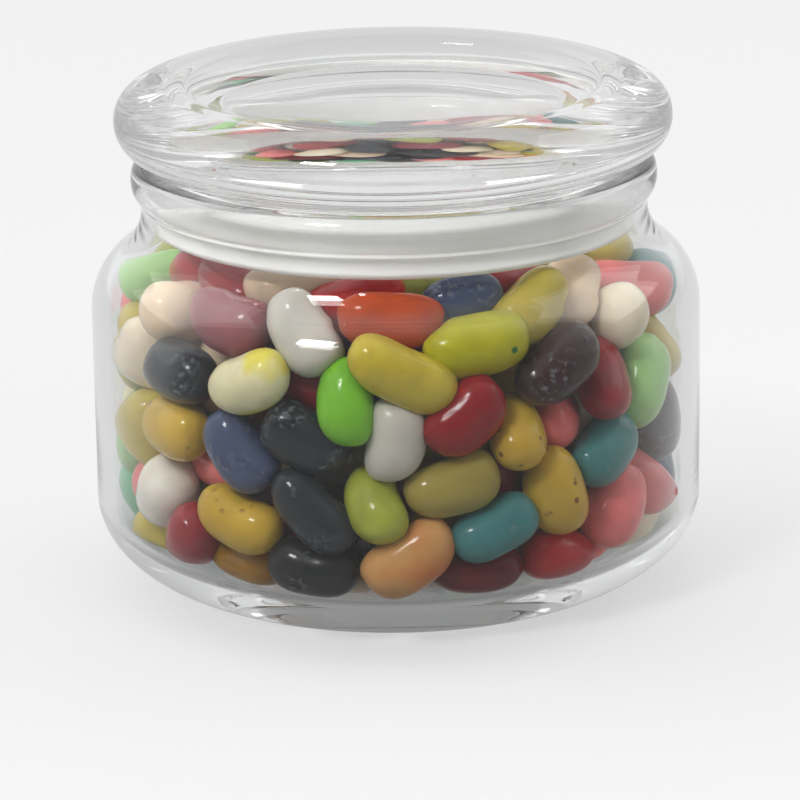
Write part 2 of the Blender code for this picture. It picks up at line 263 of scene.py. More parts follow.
def wall_depth(points, radii, wall):
    """How deep each ball is in the glass, and the direction back into the jar."""
    rho = np.maximum(np.hypot(points[:, 0], points[:, 1]), 1e-6)
    flat = np.stack([rho, points[:, 2]], -1)
    start, step = wall[:-1], wall[1:] - wall[:-1]
    along = ((flat[:, None] - start) * step).sum(-1) / (step * step).sum(-1)
    away = flat[:, None] - (start + step * np.clip(along, 0, 1)[..., None])
    distance = np.linalg.norm(away, axis=-1)
    nearest = distance.argmin(1)
    row = np.arange(len(points))
    inward = np.stack([-step[nearest, 1], step[nearest, 0]], -1)
    away = away[row, nearest]
    distance = np.maximum(distance[row, nearest], 1e-6)
    side = np.where((away * inward).sum(-1) < 0, -1.0, 1.0)
    normal = away / distance[:, None] * side[:, None]
    across = points[:, :2] / rho[:, None]
    normal = np.concatenate([across * normal[:, :1], normal[:, 1:]], -1)
    return radii + GLASS_CLEARANCE - distance * side, normal


def core_depth(points, radii):
    """The same for the hidden core, which the beans lie against."""
    half = np.array([CORE_R, CORE_R, CORE_HALF])
    away = points - np.array([0.0, 0.0, CORE_Z])
    level = np.linalg.norm(away / half, axis=1) + 1e-9
    slope = away / half**2
    steep = np.linalg.norm(slope, axis=1) + 1e-9
    return radii - (level - 1) * level / steep, slope / steep[:, None]


def heap_top(rho):
    return HEAP_EDGE_Z + HEAP_CROWN * np.clip(1.0 - (rho / HEAP_CROWN_R) ** 2, 0.0, 1.0)


def top_depth(points, radii):
    rho = np.hypot(points[:, 0], points[:, 1])
    normal = np.tile([0.0, 0.0, -1.0], (len(points), 1))
    return points[:, 2] + radii - heap_top(rho), normal


def small_turns(vectors):
    """Rotation matrices of small rotation vectors."""
    angle = np.linalg.norm(vectors, axis=1)
    k = vectors / np.maximum(angle, 1e-12)[:, None]
    skew = np.zeros((len(vectors), 3, 3))
    skew[:, 0, 1], skew[:, 0, 2], skew[:, 1, 2] = -k[:, 2], k[:, 1], -k[:, 0]
    skew -= skew.transpose(0, 2, 1)
    sine = np.sin(angle)[:, None, None]
    rest = (1 - np.cos(angle))[:, None, None]
    return np.eye(3) + sine * skew + rest * (skew @ skew)


class Pushes:
    """Adds up what every contact wants of each bean, as a shift and a turn."""

    def __init__(self, turns):
        self.turns = turns
        self.count = len(turns)
        self.shift = np.zeros((self.count, 3))
        self.spin = np.zeros((self.count, 3))
        self.contacts = np.zeros(self.count)

    def eased(self, bean, lever, normal):
        moment = np.cross(lever, normal)
        own = np.einsum("nij,ni->nj", self.turns[bean], moment) / TURN_EASE
        eased = np.einsum("nij,nj->ni", self.turns[bean], own)
        return eased, (moment * eased).sum(-1)

    def add(self, bean, eased, push, normal):
        for axis in range(3):
            self.shift[:, axis] += np.bincount(bean, push * normal[:, axis], self.count)
            self.spin[:, axis] += np.bincount(bean, push * eased[:, axis], self.count)
        self.contacts += np.bincount(bean, None, self.count)

    def against_fixed(self, bean, lever, depth, normal):
        hit = depth > 0
        bean, lever, depth, normal = bean[hit], lever[hit], depth[hit], normal[hit]
        eased, ease = self.eased(bean, lever, normal)
        self.add(bean, eased, depth / (1 + ease), normal)

    def between(self, a, b, lever_a, lever_b, depth, normal):
        eased_a, ease_a = self.eased(a, lever_a, normal)
        eased_b, ease_b = self.eased(b, lever_b, normal)
        push = depth / (2 + ease_a + ease_b)
        self.add(a, eased_a, push, normal)
        self.add(b, eased_b, -push, normal)


def turned_back(turns, home, share):
    """Turns each bean part of the way back to how it was set."""
    off = home @ turns.transpose(0, 2, 1)
    skew = (off - off.transpose(0, 2, 1)) / 2
    axis = np.stack([skew[:, 2, 1], skew[:, 0, 2], skew[:, 1, 0]], -1)
    return small_turns(axis * share) @ turns


def settle(centres, turns, sizes, wall, firm, steps):
    """Grows the beans to size while they push each other apart, then lets them come to rest.

    Firm says how strongly each bean is drawn to where it was set, from 0, free, to 1.
    """
    places, radii = ball_offsets(sizes)
    owner = np.repeat(np.arange(len(centres)), len(BALL_PLACES))
    home, set_turns = centres.copy(), turns.copy()
    ease = 1.0 - 0.6 * firm[:, None]
    drift = 1.0 - np.minimum(1.0, firm * 2.0)
    for step in range(steps):
        done = step / steps
        grown = min(1.0, 0.6 + 0.4 * done / 0.45)
        centres[:, 2] -= drift * (0.03 if done < 0.6 else 0.006 * (1 - done) / 0.4)
        levers = np.einsum("nij,nkj->nki", turns, places * grown)
        balls = centres[:, None] + levers
        if step % 8 == 0:
            apart = np.linalg.norm(centres[:, None] - centres[None], axis=-1)
            one, other = np.where(np.triu(apart < 20.0, 1))
        gap = balls[one][:, :, None] - balls[other][:, None]
        distance = np.sqrt((gap * gap).sum(-1)) + 1e-9
        depth = radii[one][:, :, None] * grown + radii[other][:, None] * grown - distance
        pair, k, m = np.where(depth > 0)
        normal = gap[pair, k, m] / distance[pair, k, m][:, None]
        a, b = one[pair], other[pair]
        pushes = Pushes(turns)
        pushes.between(a, b, levers[a, k], levers[b, m], depth[pair, k, m], normal)
        flat, lever = balls.reshape(-1, 3), levers.reshape(-1, 3)
        grown_radii = (radii * grown).reshape(-1)
        for fixed in (wall_depth(flat, grown_radii, wall), core_depth(flat, grown_radii)):
            pushes.against_fixed(owner, lever, *fixed)
        pushes.against_fixed(owner, lever, *top_depth(flat, grown_radii))
        share = 1.6 / np.maximum(pushes.contacts, 1.6)
        centres += pushes.shift * share[:, None] * ease
        turns = small_turns(pushes.spin * share[:, None] * ease) @ turns
        pull = firm[:, None] * (0.3 * max(0.0, 1 - done / 0.8) + 0.02)
        centres += (home - centres) * pull
        turns = turned_back(turns, set_turns, pull)
    depths = depth[pair, k, m]
    print(f"pile: {len(centres)} beans, mean overlap {depths.mean():.2f}, most {depths.max():.2f} mm")
    moved = np.linalg.norm(centres - home, axis=1)[firm == 1.0]
    print(f"pile: beans set by hand moved {moved.mean():.1f}, most {moved.max():.1f} mm")
    left, _, right = np.linalg.svd(turns)
    return centres, left @ right


# Beans that show from the front: across and up in the jar, the tilt of the long axis from level
# and its turn out of the wall's plane in degrees, how far back from the glass, how long it is
# against the others, and the kind.
SHOWN = [
    (-46, 57.5, 5, 60, 0, 1.0, "light_green"),
    (-38.5, 58, 10, 65, 0, 1.0, "peach_cream"),
    (-28, 58.5, -15, 0, 0, 0.95, "mauve"),
    (-28, 60, 0, 0, 5, 1.0, "dark_red"),
    (-18, 62, 10, 0, 6, 1.0, "beige"),
    (-15, 58, -62, 0, 0, 0.98, "white"),
    (-7, 62, 0, 0, 5, 1.1, "bright_red"),
    (-1, 60, -8, 0, 1, 1.12, "orange_red"),
    (3.5, 62, 0, 30, 9, 1.0, "lime"),
    (11, 61.5, 10, 0, 4, 0.9, "navy"),
    (21.5, 60.5, 0, 0, 7, 1.0, "dark_red"),
    (22, 60, 22, 10, 0, 0.95, "yellow"),
    (31, 59.5, 40, 40, 2, 0.85, "peach_cream"),
    (39.5, 55.5, -45, 30, 0, 0.9, "cream"),
    (42, 57.5, 0, 80, 0, 1.0, "rose"),
    (47, 46, 60, 10, 0, 1.05, "yellow"),
    (47, 53, 30, 0, 0, 0.9, "teal"),
    (-47, 44, 85, 0, 0, 1.05, "yellow"),
    (-37.5, 47, -5, 0, 0, 0.92, "black"),
    (-25, 49, 25, 0, 0, 0.98, "cream_yellow"),
    (-16, 47, 0, 0, 8, 1.0, "dark_red"),
    (0, 53, -42, 0, 0, 1.22, "yellow"),
    (14.5, 56.5, 17, 0, 0, 1.12, "lime_speckled"),
    (27.5, 50, 35, 0, 0, 1.03, "plum"),
    (37, 44, 40, 60, 0, 0.95, "dark_red"),
    (-8, 46, -70, 75, 0, 0.95, "green"),
    (-38.5, 36, -10, 10, 0, 0.88, "mustard"),
    (-27, 36.5, -50, 0, 0, 0.98, "navy"),
    (-15, 40, -18, 0, 1, 0.98, "black"),
    (10.5, 43.5, 35, 0, 0, 1.0, "dark_red"),
    (-1.5, 38.5, 75, 20, 1, 0.9, "white"),
    (21.5, 39, 30, 75, 1, 0.95, "mustard"),
    (28, 37, 0, 40, 6, 0.95, "rose"),
    (36, 33, 30, 0, 0, 0.95, "teal"),
    (45.5, 34, 80, 0, 0, 1.05, "plum"),
    (-47, 28, 70, 0, 0, 1.0, "light_green"),
    (-41, 23, 50, 25, 0, 0.92, "pale_cream"),
    (-47, 14, 80, 0, 0, 1.1, "sea_green"),
    (-48, 20, 80, 0, 3, 0.9, "lilac"),
    (-31, 29, 0, 0, 6, 1.0, "rose"),
    (-36, 16, 40, 35, 0, 0.95, "maroon"),
    (-27.5, 23, -17, 0, 0, 1.0, "mustard"),
    (-14, 26.5, -42, 0, 0, 1.08, "black"),
    (-3, 28.5, -65, 70, 0, 0.95, "lime"),
    (9.5, 30, 2, 0, 1, 1.02, "olive"),
    (27.5, 27.5, -78, 0, 0, 1.0, "mustard"),
    (38, 21.5, 52, 0, 0, 1.0, "rose"),
    (16.5, 22.5, 25, 0, 0, 0.98, "teal"),
    (1, 18.7, 38, 0, 0, 1.1, "peach"),
    (-15, 14, -10, 0, 0, 1.02, "jet"),
    (-27.5, 13, -10, 0, 1, 0.95, "amber"),
    (13.5, 12.5, -8, 0, 0, 1.02, "deep_red"),
    (28, 14, -5, 0, 0, 0.95, "bright_red"),
    (41, 13.5, 50, 0, 1, 1.0, "cream"),
    (47, 13.5, 80, 0, 0, 0.9, "lime"),
    (47, 20, 60, 0, 1, 0.9, "navy"),
    (48, 26.5, 70, 0, 1, 0.9, "light_green"),
    (48, 35, 70, 0, 2, 0.9, "light_green"),
]


def lean_radius(height, wall):
    """How far from the axis a bean that lies against the glass has its middle, at a height."""
    rho = np.linspace(20.0, 52.0, 129)
    points = np.stack([rho, np.zeros_like(rho), np.full_like(rho, height)], -1)
    depth, _ = wall_depth(points, np.full_like(rho, BALL_RADII[0]), wall)
    return rho[depth < 0].max()


def shown_bean(entry, wall):
    """Middle and axes of a bean from the list of those that show."""
    across, height, tilt, out, back, _, _ = entry
    height = max(height, FLOOR_Z + BALL_RADII[0] + 0.8)
    reach = lean_radius(height, wall) - back
    across = max(-reach, min(reach, across))
    middle = np.array([across, -math.sqrt(reach * reach - across * across), height])
    outward = np.array([middle[0], middle[1], 0.0]) / reach
    level = np.array([-outward[1], outward[0], 0.0])
    tilt, out = math.radians(tilt), math.radians(out)
    lying = level * math.cos(out) + outward * math.sin(out) * (1 if across < 0 else -1)
    long_axis = lying * math.cos(tilt) + np.array([0.0, 0.0, 1.0]) * math.sin(tilt)
    side = np.cross(outward, long_axis)
    side /= np.linalg.norm(side)
    return middle, np.stack([long_axis, side, np.cross(long_axis, side)], -1)


def random_turn(rng):
    w, x, y, z = (q := rng.normal(size=4)) / np.linalg.norm(q)
    return np.array(
        [
            [1 - 2 * (y * y + z * z), 2 * (x * y - z * w), 2 * (x * z + y * w)],
            [2 * (x * y + z * w), 1 - 2 * (x * x + z * z), 2 * (y * z - x * w)],
            [2 * (x * z - y * w), 2 * (y * z + x * w), 1 - 2 * (x * x + y * y)],
        ]
    )


def layer_curve(wall):
    """Where the middles of the outermost beans lie, as a curve of distance from the axis and height."""
    curve = []
    for angle in np.radians(np.linspace(-90, 90, 121)):
        reach = np.linspace(5.0, 60.0, 441)
        rho, height = reach * math.cos(angle), CORE_Z + reach * math.sin(angle)
        points = np.stack([rho, np.zeros_like(rho), height], -1)
        depth, _ = wall_depth(points, np.full_like(rho, BALL_RADII[0]), wall)
        above, _ = top_depth(points, BALL_RADII[0])
        free = np.cumprod((depth < 0) & (above < 0)).astype(bool)
        curve.append(points[free][-1][[0, 2]])
    return np.array(curve)


def layer_beans(taken, wall, rng):
    """The rest of the outermost layer, as evenly spread places and axes, clear of the listed beans."""
    curve = layer_curve(wall)
    step = np.diff(curve, axis=0)
    area = np.hypot(step[:, 0], step[:, 1]) * (curve[1:, 0] + curve[:-1, 0]) / 2
    passed = np.concatenate([[0.0], np.cumsum(area)]) / area.sum()
    middles, axes = [], []
    for i in range(LAYER):
        share = (i + 0.5) / LAYER
        rho, height = np.interp(share, passed, curve[:, 0]), np.interp(share, passed, curve[:, 1])
        k = min(np.searchsorted(passed, share), len(step)) - 1
        turn = i * math.pi * (3.0 - math.sqrt(5.0))
        across = np.array([math.cos(turn), math.sin(turn), 0.0])
        along = np.array([across[0] * step[k, 0], across[1] * step[k, 0], step[k, 1]])
        along /= np.linalg.norm(along)
        level = np.array([-across[1], across[0], 0.0])
        middle = np.array([rho * across[0], rho * across[1], height])
        in_front = middle[1] < FRONT_Y and FLOOR_Z + 8.0 < height < FRONT_Z
        if in_front or min(np.linalg.norm(taken - middle, axis=1)) < LAYER_GAP:
            continue
        lie, out = 2.4 * i, math.radians(rng.normal(0.0, 20.0))
        outward = np.cross(level, along)
        flat = level * math.cos(lie) + along * math.sin(lie)
        long_axis = flat * math.cos(out) + outward * math.sin(out)
        side = np.cross(outward, long_axis)
        side /= np.linalg.norm(side)
        middles.append(middle)
        axes.append(np.stack([long_axis, side, np.cross(long_axis, side)], -1))
    return middles, axes


def scattered(count, taken, wall, rng):
    """Seeded places for the other beans, well apart from each other and from the listed ones."""
    found = list(taken)
    half = np.array([CORE_R + 4, CORE_R + 4, CORE_HALF + 4])
    need = 8.4
    while len(found) < len(taken) + count:
        point = rng.uniform((-48, -48, 9), (48, 48, 63))
        if np.linalg.norm((point - (0, 0, CORE_Z)) / half) < 1:
            continue
        depth, _ = wall_depth(point[None], np.array([4.9]), wall)
        if depth[0] > 0:
            continue
        if np.linalg.norm(np.array(found) - point, axis=1).min() < need:
            need = max(6.0, need - 0.0004)
            continue
        found.append(point)
    return found[len(taken):]


def pile(wall):
    rng = np.random.default_rng(SEED)
    shown = [shown_bean(entry, wall) for entry in SHOWN]
    middles = [middle for middle, _ in shown]
    layer, layer_turns = layer_beans(np.array(middles), wall, rng)
    rest = scattered(BEANS - len(shown) - len(layer), middles + layer, wall, rng)
    centres = np.array(middles + layer + rest)
    turns = np.array([turn for _, turn in shown] + layer_turns + [random_turn(rng) for _ in rest])
    firm = np.repeat([1.0, 0.3, 0.0], [len(shown), len(layer), len(rest)])
    sizes = np.stack([rng.uniform(0.9, 1.1, BEANS), rng.uniform(0.95, 1.05, BEANS)], -1)
    sizes[: len(SHOWN), 0] = [entry[-2] for entry in SHOWN]
    print(f"pile: {len(shown)} by hand, {len(layer)} in the layer, {len(rest)} inside")
    centres, turns = settle(centres, turns, sizes, wall, firm, PILE_STEPS)
    return centres, turns, sizes


# ---------------------------------------------------------------- kinds of bean

KINDS = {
    "bright_red": ((0.48, 0.014, 0.014), "clear"),
    "dark_red": ((0.30, 0.008, 0.012), "clear"),
    "maroon": ((0.34, 0.022, 0.030), "clear"),
    "orange_red": ((0.50, 0.060, 0.003), "clear"),
    "yellow": ((0.54, 0.42, 0.045), "clear"),
    "cream_yellow": ((0.86, 0.80, 0.49), "blotched"),
    "mustard": ((0.66, 0.42, 0.045), "spotted"),
    "lime_speckled": ((0.44, 0.41, 0.010), "flecked"),
    "olive": ((0.42, 0.33, 0.070), "clear"),
    "lime": ((0.38, 0.41, 0.050), "clear"),
    "light_green": ((0.34, 0.66, 0.18), "clear"),
    "green": ((0.21, 0.55, 0.030), "clear"),
    "sea_green": ((0.16, 0.54, 0.28), "clear"),
    "teal": ((0.050, 0.22, 0.22), "scuffed"),
    "navy": ((0.050, 0.070, 0.14), "scuffed"),
    "black": ((0.011, 0.014, 0.020), "scuffed"),
    "plum": ((0.036, 0.007, 0.009), "scuffed"),
    "mauve": ((0.29, 0.060, 0.072), "clear"),
    "rose": ((0.86, 0.19, 0.18), "clear"),
    "white": ((0.66, 0.62, 0.55), "pearl"),
    "cream": ((0.92, 0.78, 0.58), "pearl"),
    "beige": ((0.70, 0.54, 0.39), "pearl"),
    "peach_cream": ((0.86, 0.65, 0.44), "pearl"),
    "pale_cream": ((0.93, 0.84, 0.74), "pearl"),
    "amber": ((0.36, 0.17, 0.008), "clear"),
    "deep_red": ((0.14, 0.005, 0.006), "clear"),
    "jet": ((0.004, 0.003, 0.003), "scuffed"),
    "peach": ((0.62, 0.32, 0.11), "blushed"),
    "lilac": ((0.34, 0.22, 0.44), "clear"),
}


# Most beans that show at the left and right edges are pale ones.
SIDE_X = 36.0
SIDE_Y = 20.0
SIDE_KINDS = ["light_green", "yellow", "cream", "sea_green", "lilac", "rose", "lime", "cream_yellow"]


def new_material(name):
    material = bpy.data.materials.new(name)
    material.use_nodes = True
    tree = material.node_tree
    shader = tree.nodes["Principled BSDF"]
    return material, tree, shader


def noise(tree, coords, scale, detail=2.0, roughness=0.5):
    node = tree.nodes.new("ShaderNodeTexNoise")
    node.inputs["Scale"].default_value = scale
    node.inputs["Detail"].default_value = detail
    node.inputs["Roughness"].default_value = roughness
    tree.links.new(coords, node.inputs["Vector"])
    return node.outputs["Fac"]


def ramp(tree, value, stops):
    node = tree.nodes.new("ShaderNodeValToRGB")
    node.color_ramp.elements[0].position = stops[0][0]
    node.color_ramp.elements[0].color = (*stops[0][1], 1.0)
    node.color_ramp.elements[1].position = stops[-1][0]
    node.color_ramp.elements[1].color = (*stops[-1][1], 1.0)
    for place, colour in stops[1:-1]:
        node.color_ramp.elements.new(place).color = (*colour, 1.0)
    tree.links.new(value, node.inputs["Fac"])
    return node.outputs["Color"]


def mixed(tree, factor, a, b):
    node = tree.nodes.new("ShaderNodeMix")
    node.data_type = "RGBA"
    for socket, value in ((node.inputs["Factor"], factor), (node.inputs["A"], a), (node.inputs["B"], b)):
        if isinstance(value, bpy.types.NodeSocket):
            tree.links.new(value, socket)
        elif isinstance(value, float):
            socket.default_value = value
        else:
            socket.default_value = (*value, 1.0)
    return node.outputs["Result"]


def scaled(colour, factor):
    return tuple(min(1.0, channel * factor) for channel in colour)


def dots(tree, coords, scale, radius, share):
    """Sparse round specks: near the middle of some cells only. Scale is cells per metre."""
    cells = tree.nodes.new("ShaderNodeTexVoronoi")
    cells.inputs["Scale"].default_value = scale
    tree.links.new(coords, cells.inputs["Vector"])
    near = ramp(tree, cells.outputs["Distance"], [(radius, (1, 1, 1)), (radius * 1.5, (0, 0, 0))])
    chosen = ramp(tree, cells.outputs["Color"], [(share, (1, 1, 1)), (share + 0.01, (0, 0, 0))])
    return mixed(tree, near, (0.0, 0.0, 0.0), chosen)


def marked(tree, coords, look, base):
    """The marks that some kinds carry, over their ground colour."""
    if look == "spotted":
        specks = dots(tree, coords, 420.0, 0.20, 0.52)
        patch = ramp(tree, noise(tree, coords, 170.0, 1.0), [(0.46, (0, 0, 0)), (0.60, (0.85, 0.85, 0.85))])
        return mixed(tree, mixed(tree, patch, (0.0, 0.0, 0.0), specks), base, (0.16, 0.055, 0.012))
    if look == "flecked":
        return mixed(tree, dots(tree, coords, 260.0, 0.13, 0.5), base, (0.012, 0.13, 0.02))
    if look == "blotched":
        patch = ramp(tree, noise(tree, coords, 150.0, 1.0), [(0.53, (0, 0, 0)), (0.68, (1, 1, 1))])
        return mixed(tree, patch, base, (0.72, 0.62, 0.09))
    if look == "blushed":
        patch = ramp(tree, noise(tree, coords, 110.0, 1.0), [(0.44, (0, 0, 0)), (0.68, (1, 1, 1))])
        return mixed(tree, patch, base, (0.60, 0.20, 0.055))
    if look == "scuffed":
        place = ramp(tree, noise(tree, coords, 150.0, 1.0), [(0.52, (0, 0, 0)), (0.64, (1, 1, 1))])
        chalk = ramp(tree, noise(tree, coords, 780.0, 3.0, 0.6), [(0.50, (0, 0, 0)), (0.68, (0.45, 0.45, 0.45))])
        return mixed(tree, mixed(tree, place, (0.05, 0.05, 0.05), chalk), base, (0.26, 0.28, 0.30))
    return base


def bean_material(kind, colour, look):
    material, tree, shader = new_material(f"bean_{kind}")
    coords = tree.nodes.new("ShaderNodeTexCoord").outputs["Object"]
    shade = tree.nodes.new("ShaderNodeAttribute")
    shade.attribute_name = "shade"
    mottle = noise(tree, coords, 190.0, 2.0)
    base = ramp(tree, mottle, [(0.30, scaled(colour, 0.84)), (0.72, scaled(colour, 1.14))])
    base = mixed(tree, shade.outputs["Fac"], base, scaled(colour, 0.72))
    tree.links.new(marked(tree, coords, look, base), shader.inputs["Base Color"])
    shader.inputs["Roughness"].default_value = 0.32
    shader.inputs["Specular IOR Level"].default_value = 0.05
    shader.inputs["Subsurface Weight"].default_value = 0.4 if look == "pearl" else 0.3
    shader.inputs["Subsurface Radius"].default_value = (1.0, 0.6, 0.4)
    shader.inputs["Subsurface Scale"].default_value = 0.0015
    shader.inputs["Coat Weight"].default_value = 0.75
    shader.inputs["Coat Roughness"].default_value = 0.10
    return material


def unit_ball():
    """Points and triangles of a unit ball of even triangles."""
    ball = bmesh.new()
    bmesh.ops.create_icosphere(ball, subdivisions=4, radius=1.0)
    ball.verts.ensure_lookup_table()
    points = np.array([v.co for v in ball.verts])
    faces = np.array([[v.index for v in f.verts] for f in ball.faces])
    ball.free()
    return points / np.linalg.norm(points, axis=1)[:, None], faces


def bean_points(ball, size, rng):
    """One bean about its own middle: blunt ends, a kidney bend and a shallow dent inside it."""
    x, y, z = ball.T
    ring = np.sqrt(np.maximum(1.0 - x * x, 1e-9))
    blunt = rng.uniform(2.15, 2.75)
    wide = (1.0 - np.abs(x) ** blunt) ** (1.0 / blunt) / ring
    wide *= 1.0 + rng.uniform(-0.10, 0.10) * x - rng.uniform(0.0, 0.05) * np.exp(-((x / 0.4) ** 2))
    bend = rng.uniform(0.3, 1.2)
    dent = rng.uniform(0.0, 0.45) * np.exp(-((x / 0.42) ** 2)) * np.clip(y, 0.0, 1.0)
    px = x * BEAN_HALF[0] * size[0]
    py = y * wide * BEAN_HALF[1] * size[1] * rng.uniform(0.96, 1.04) + bend * (x * x - 0.35) - dent
    pz = z * wide * BEAN_HALF[2] * size[1] * rng.uniform(0.95, 1.03)
    phase = rng.uniform(0, 2 * math.pi, 3)
    lumps = np.sin(2.6 * x + phase[0]) + np.sin(3.1 * y + phase[1]) + np.sin(2.8 * z + 2.0 * x + phase[2])
    return np.stack([px, py, pz], -1) * (1.0 + 0.012 * lumps)[:, None]


def clear_of_glass(points, wall):
    """Shifts a finished bean until no point of it is in the glass."""
    for _ in range(4):
        depth, normal = wall_depth(points[::7], 0.0, wall)
        deepest = depth.argmax()
        if depth[deepest] <= 0:
            break
        points = points + normal[deepest] * (depth[deepest] + 0.02)
    return points


def joined_beans(kind, members, pile_of, wall, ball, faces, rng):
    centres, turns, sizes = pile_of
    points, shades = [], []
    for bean in members:
        own = bean_points(ball, sizes[bean], rng)
        points.append(clear_of_glass(own @ turns[bean].T + centres[bean], wall))
        shades.append(np.full(len(ball), rng.uniform(0.0, 0.6)))
    all_faces = np.concatenate([faces + i * len(ball) for i in range(len(members))])
    mesh = bpy.data.meshes.new(f"beans_{kind}")
    mesh.from_pydata((np.concatenate(points) * MM).tolist(), [], all_faces.tolist())
    mesh.shade_smooth()
    shade = mesh.attributes.new("shade", "FLOAT", "POINT")
    shade.data.foreach_set("value", np.concatenate(shades).astype(np.float32))
    colour, look = KINDS[kind]
    mesh.materials.append(bean_material(kind, colour, look))
    made = bpy.data.objects.new(f"beans_{kind}", mesh)
    bpy.context.scene.collection.objects.link(made)
    return made


def core_piece(rng):
    """The dark lumpy middle of the heap: its dark colour is painted shade, which shows only between the beans."""
    ball, faces = unit_ball()
    lump = 1.0 + 0.05 * np.sin(9 * ball[:, 0] + 2) * np.sin(8 * ball[:, 1]) * np.sin(7 * ball[:, 2] + 1)
    points = ball * (CORE_R + 2, CORE_R + 2, CORE_HALF + 2) * lump[:, None] + (0, 0, CORE_Z)
    mesh = bpy.data.meshes.new("heap_core")
    mesh.from_pydata((points * MM).tolist(), [], faces.tolist())
    mesh.shade_smooth()
    material, tree, shader = new_material("heap_core")
    coords = tree.nodes.new("ShaderNodeTexCoord").outputs["Object"]
    # Painted shade: dark brown patches that stand for the shade deep between the beans.
    core_painted_shade = ramp(tree, noise(tree, coords, 80.0), [(0.4, (0.05, 0.02, 0.02)), (0.6, (0.10, 0.08, 0.03))])
    tree.links.new(core_painted_shade, shader.inputs["Base Color"])
    shader.inputs["Roughness"].default_value = 0.5
    mesh.materials.append(material)
    made = bpy.data.objects.new("heap_core", mesh)
    bpy.context.scene.collection.objects.link(made)
    return made


# ---------------------------------------------------------------- glass and seal


# The glass darkens what is seen through it, and the thick foot of the jar does so most.
JAR_TINT = (0.972, 0.980, 0.977)
LID_TINT = (0.947, 0.953, 0.952)
THICK_FOOT = 0.016


def glass_material(name, tint):
    material, tree, shader = new_material(name)
    split = tree.nodes.new("ShaderNodeSeparateXYZ")
    tree.links.new(tree.nodes.new("ShaderNodeTexCoord").outputs["Object"], split.inputs["Vector"])
    height = tree.nodes.new("ShaderNodeMapRange")
    height.inputs["From Max"].default_value = THICK_FOOT
    tree.links.new(split.outputs["Z"], height.inputs["Value"])
    foot = ramp(tree, height.outputs["Result"], [(0.05, scaled(tint, 0.66)), (0.55, scaled(tint, 0.84)), (1.0, tint)])
    tree.links.new(foot, shader.inputs["Base Color"])
    shader.inputs["Roughness"].default_value = 0.0
    shader.inputs["IOR"].default_value = 1.5
    shader.inputs["Transmission Weight"].default_value = 1.0
    clear = tree.nodes.new("ShaderNodeBsdfTransparent")
    clear.inputs["Color"].default_value = (0.955, 0.965, 0.962, 1.0)
    path = tree.nodes.new("ShaderNodeLightPath")
    blend = tree.nodes.new("ShaderNodeMixShader")
    tree.links.new(path.outputs["Is Shadow Ray"], blend.inputs["Fac"])
    tree.links.new(shader.outputs["BSDF"], blend.inputs[1])
    tree.links.new(clear.outputs["BSDF"], blend.inputs[2])
    tree.links.new(blend.outputs["Shader"], tree.nodes["Material Output"].inputs["Surface"])
    return material


def seal_material():
    material, tree, shader = new_material("seal_plastic")
    coords = tree.nodes.new("ShaderNodeTexCoord").outputs["Object"]
    cloud = noise(tree, coords, 90.0, 3.0)
    tint = ramp(tree, cloud, [(0.3, (0.87, 0.85, 0.82)), (0.7, (0.94, 0.92, 0.89))])
    tree.links.new(tint, shader.inputs["Base Color"])
    shader.inputs["Roughness"].default_value = 0.55
    shader.inputs["Subsurface Weight"].default_value = 0.6
    shader.inputs["Subsurface Radius"].default_value = (1.0, 1.0, 1.0)
    shader.inputs["Subsurface Scale"].default_value = 0.002
    return material


# ---------------------------------------------------------------- stage, lights and camera


